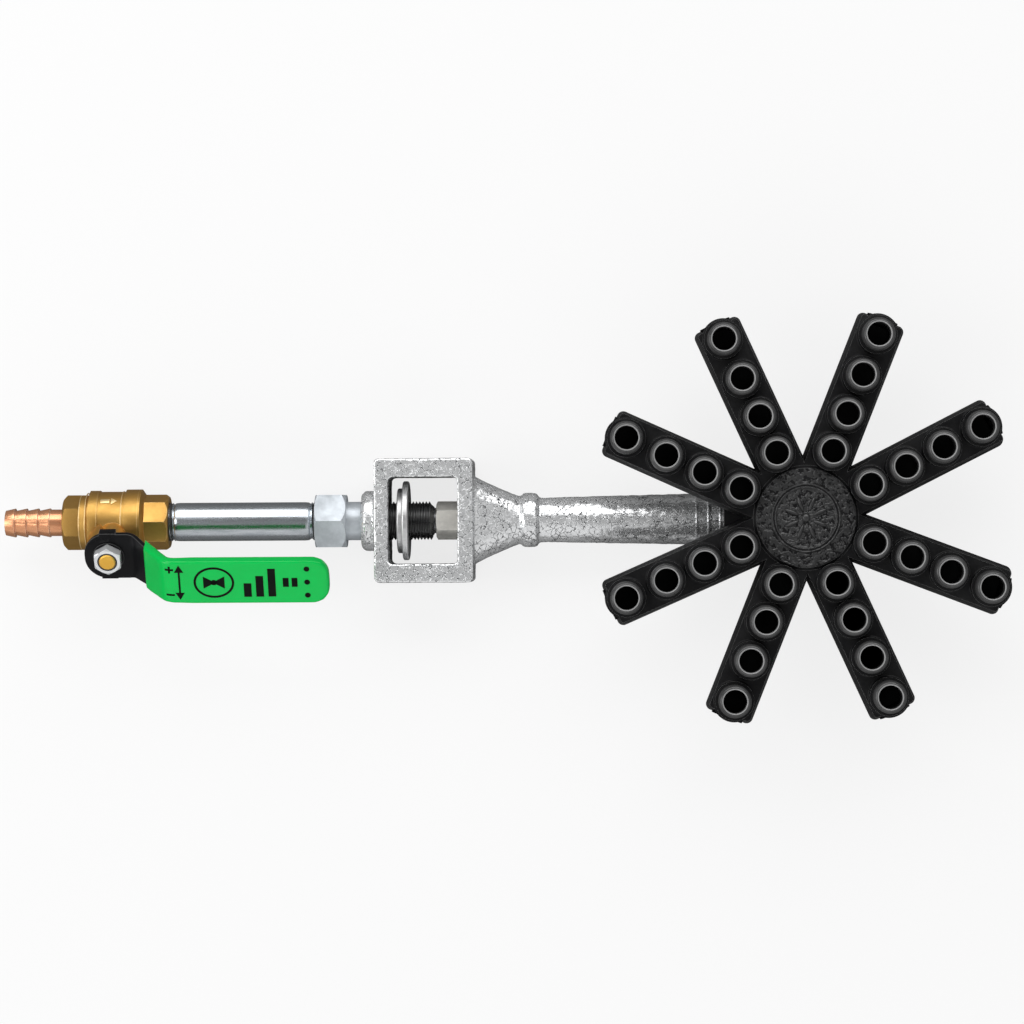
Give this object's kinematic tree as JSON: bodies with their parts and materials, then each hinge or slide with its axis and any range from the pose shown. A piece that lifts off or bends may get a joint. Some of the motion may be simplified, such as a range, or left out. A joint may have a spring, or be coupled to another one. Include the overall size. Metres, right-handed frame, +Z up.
{
  "type": "multi-jet gas burner",
  "caption": "Cast gas burner: star of jet arms on a hub, fed by a venturi mixer with an adjustable air shutter, a lever ball valve and a hose barb.",
  "frame": {"origin": "centre of the hub's flat base, on the plane that the burner stands on", "axes": "+Z up the jets, +X from the hose barb along the pipe towards the star, +Y to the left when looking along +X; the valve's stem leans from +Z towards -Y"},
  "size_m": [0.555, 0.224, 0.0854],
  "materials": {
    "star_iron": "matt black, as cast",
    "jet_iron": "matt black, lips rubbed lighter",
    "galvanised_casting": "bright galvanised, rough cast",
    "black_thread": "black oxide on steel",
    "dark_steel": "dark machined steel",
    "hood_steel": "grey turned steel",
    "zinc_hexagon": "satin zinc plate",
    "zinc_pipe": "bright zinc plate",
    "valve_brass": "forged and turned brass",
    "stem_brass": "turned brass",
    "ball_chrome": "polished chrome plate",
    "white_seal": "white seal ring",
    "black_lever": "black painted steel",
    "green_vinyl": "glossy dipped vinyl",
    "zinc_nut": "zinc plated steel",
    "dark_insert": "dark locking ring",
    "copper_barb": "turned red brass"
  },
  "bodies": {
    "burner": {"burner_star": "star_iron", "jet_tips_arm_1": "jet_iron", "jet_tips_arm_2": "jet_iron", "jet_tips_arm_3": "jet_iron", "jet_tips_arm_4": "jet_iron", "jet_tips_arm_5": "jet_iron", "jet_tips_arm_6": "jet_iron", "jet_tips_arm_7": "jet_iron", "jet_tips_arm_8": "jet_iron", "core_plugs": "star_iron", "mixer_casting": "galvanised_casting", "orifice_nipple": "black_thread", "orifice_hood": "hood_steel", "hex_coupling": "zinc_hexagon", "pipe_nipple": "zinc_pipe", "valve_body": "valve_brass", "valve_end_cap": "valve_brass", "seat_ring_outlet": "white_seal", "seat_ring_inlet": "white_seal", "stem_thrust_washer": "white_seal", "stem_packing": "white_seal", "packing_nut": "stem_brass", "hose_barb": "copper_barb"},
    "valve_lever": {"valve_ball": "ball_chrome", "valve_stem": "stem_brass", "lever": "black_lever", "lever_grip": "green_vinyl", "lever_washer": "black_lever", "lever_nut": "zinc_nut", "nut_insert": "dark_insert"},
    "shutter_carriage": {"shutter_lock_ring": "dark_steel"},
    "shutter_disc": {"air_shutter_disc": "dark_steel"}
  },
  "joints": [
    {"name": "valve_turn", "type": "hinge", "parent": "burner", "child": "valve_lever", "pos_m": [-0.381, 0, 0.021], "axis": [0, -0.5075, 0.8616], "range_deg": [-90, 0]},
    {"name": "shutter_advance", "type": "slide", "parent": "burner", "child": "shutter_carriage", "axis": [1, 0, 0], "range_m": [-0.004, 0.01271]},
    {"name": "shutter_turn", "type": "hinge", "parent": "shutter_carriage", "child": "shutter_disc", "pos_m": [-0.2193, 0, 0.021], "axis": [1, 0, 0], "range_deg": [-792, 2520]}
  ],
  "couplings": [
    {"joint": "shutter_advance", "follows": "shutter_turn", "m_per_rad": 0.00028875}
  ]
}
